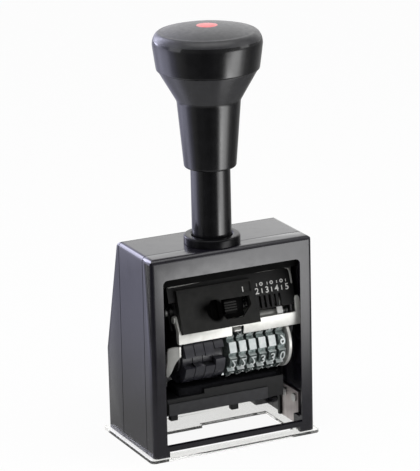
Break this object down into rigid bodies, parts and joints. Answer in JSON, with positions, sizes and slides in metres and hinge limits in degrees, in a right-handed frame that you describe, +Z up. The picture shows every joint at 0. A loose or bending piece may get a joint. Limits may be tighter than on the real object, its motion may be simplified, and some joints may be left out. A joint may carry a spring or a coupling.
{
  "type": "numbering machine",
  "caption": "Self-inking numbering stamp: sprung hand plunger over a row of turning number wheels in an open-fronted black housing on a clear base plate.",
  "frame": {"origin": "bottom, in the middle of the box that holds the whole machine; z = 0 is the table", "axes": "+Z up along the plunger, +X to the right of someone who faces the open front, -Y out of the open front"},
  "size_m": [0.08, 0.0593, 0.1823],
  "materials": {
    "clear_base": "milky clear moulded plastic, glossy",
    "housing_black": "polished black moulded plastic",
    "handle_black": "black moulded plastic, glossy sides and a finely satin top",
    "shaft_black": "black enamelled steel tube",
    "red_disc": "coloured plastic disc",
    "chrome": "bright chromed sheet",
    "steel": "drawn and stamped steel",
    "spring_steel": "spring steel",
    "screw_steel": "turned steel screws",
    "number_metal": "nickel-plated engraved wheels",
    "blank_plastic": "slate-black moulded plastic",
    "cover_black": "fine-grained black plastic",
    "carriage_black": "black plastic and black-enamelled sheet",
    "grey_strip": "dark grey plastic",
    "pointer_white": "white plastic",
    "ink_felt": "ink-soaked felt"
  },
  "bodies": {
    "housing": {"base_plate": "clear_base", "base_screws": "screw_steel", "front_frame": "housing_black", "housing_body": "housing_black", "rear_cover": "housing_black", "rear_cover_screws": "screw_steel", "guide_bushing": "shaft_black", "bushing_nut": "steel", "guide_rail_left": "carriage_black", "guide_rail_right": "carriage_black", "cam_plate": "steel", "wear_plate": "steel", "wall_plate_screws": "screw_steel", "spring_anchor_bar": "steel", "return_spring_left": "spring_steel", "return_spring_right": "spring_steel"},
    "plunger": {"plunger_shaft": "shaft_black", "knob_sleeve": "handle_black", "knob_cap": "handle_black", "knob_disc": "red_disc", "knob_screw": "screw_steel", "carriage_bridge": "carriage_black", "carriage_plate_left": "steel", "carriage_plate_right": "steel", "tie_rods": "steel", "selector_rod": "steel", "spring_rod": "steel", "wheel_axle": "steel", "axle_clips": "spring_steel", "axle_spacer": "carriage_black", "end_flange": "chrome", "front_cover": "cover_black", "scale_panel": "cover_black", "panel_screws": "screw_steel", "front_bar": "chrome", "bar_screws": "screw_steel", "axle_keeper": "chrome", "detent_springs": "spring_steel", "trip_screw": "screw_steel"},
    "blank_1": {"blank_wheel_1": "blank_plastic"},
    "blank_2": {"blank_wheel_2": "blank_plastic"},
    "blank_3": {"blank_wheel_3": "blank_plastic"},
    "blank_4": {"blank_wheel_4": "blank_plastic"},
    "number_1": {"number_wheel_1": "number_metal"},
    "number_2": {"number_wheel_2": "number_metal"},
    "number_3": {"number_wheel_3": "number_metal"},
    "number_4": {"number_wheel_4": "number_metal"},
    "number_5": {"number_wheel_5": "number_metal"},
    "number_6": {"number_wheel_6": "number_metal"},
    "pawls": {"pawl_frame": "steel", "pawl_fingers": "spring_steel"},
    "trip": {"trip_lever": "carriage_black"},
    "selector": {"selector_lever": "pointer_white"},
    "latch": {"latch_tab": "cover_black"},
    "pad_carrier": {"pad_arm_left": "carriage_black", "pad_arm_right": "carriage_black", "pad_tray": "carriage_black", "pad_strip": "grey_strip", "ink_pad": "ink_felt"}
  },
  "joints": [
    {"name": "plunger_slide", "type": "slide", "parent": "housing", "child": "plunger", "axis": [0, 0, -1], "range_m": [0, 0.029], "stiffness_N_per_m": 300, "springref_m": -0.02, "deforming": ["return_spring_left", "return_spring_right"]},
    {"name": "blank_1_turn", "type": "hinge", "parent": "plunger", "child": "blank_1", "pos_m": [0, -0.00665, 0.0407], "axis": [1, 0, 0], "continuous": true},
    {"name": "blank_2_turn", "type": "hinge", "parent": "plunger", "child": "blank_2", "pos_m": [0, -0.00665, 0.0407], "axis": [1, 0, 0], "continuous": true},
    {"name": "blank_3_turn", "type": "hinge", "parent": "plunger", "child": "blank_3", "pos_m": [0, -0.00665, 0.0407], "axis": [1, 0, 0], "continuous": true},
    {"name": "blank_4_turn", "type": "hinge", "parent": "plunger", "child": "blank_4", "pos_m": [0, -0.00665, 0.0407], "axis": [1, 0, 0], "continuous": true},
    {"name": "number_1_turn", "type": "hinge", "parent": "plunger", "child": "number_1", "pos_m": [0, -0.00665, 0.0407], "axis": [1, 0, 0], "continuous": true},
    {"name": "number_2_turn", "type": "hinge", "parent": "plunger", "child": "number_2", "pos_m": [0, -0.00665, 0.0407], "axis": [1, 0, 0], "continuous": true},
    {"name": "number_3_turn", "type": "hinge", "parent": "plunger", "child": "number_3", "pos_m": [0, -0.00665, 0.0407], "axis": [1, 0, 0], "continuous": true},
    {"name": "number_4_turn", "type": "hinge", "parent": "plunger", "child": "number_4", "pos_m": [0, -0.00665, 0.0407], "axis": [1, 0, 0], "continuous": true},
    {"name": "number_5_turn", "type": "hinge", "parent": "plunger", "child": "number_5", "pos_m": [0, -0.00665, 0.0407], "axis": [1, 0, 0], "continuous": true},
    {"name": "number_6_turn", "type": "hinge", "parent": "plunger", "child": "number_6", "pos_m": [0, -0.00665, 0.0407], "axis": [1, 0, 0], "continuous": true},
    {"name": "pawl_swing", "type": "hinge", "parent": "plunger", "child": "pawls", "pos_m": [0, -0.00665, 0.0407], "axis": [1, 0, 0], "range_deg": [-38, 0]},
    {"name": "trip_swing", "type": "hinge", "parent": "plunger", "child": "trip", "pos_m": [0, -0.00715, 0.061], "axis": [1, 0, 0], "range_deg": [0, 12]},
    {"name": "selector_slide", "type": "slide", "parent": "plunger", "child": "selector", "axis": [1, 0, 0], "range_m": [-0.00932, 0]},
    {"name": "latch_slide", "type": "slide", "parent": "plunger", "child": "latch", "axis": [1, 0, 0], "range_m": [0, 0.004], "stiffness_N_per_m": 80, "springref_m": -0.003},
    {"name": "pad_swing", "type": "hinge", "parent": "plunger", "child": "pad_carrier", "pos_m": [0, -0.00665, 0.0407], "axis": [1, 0, 0], "range_deg": [0, 90]}
  ],
  "couplings": [
    {"joint": "pad_swing", "follows": "plunger_slide", "rad_per_m": 54.165},
    {"joint": "pawl_swing", "follows": "plunger_slide", "rad_per_m": -22.87},
    {"joint": "trip_swing", "follows": "plunger_slide", "rad_per_m": 7.222}
  ]
}
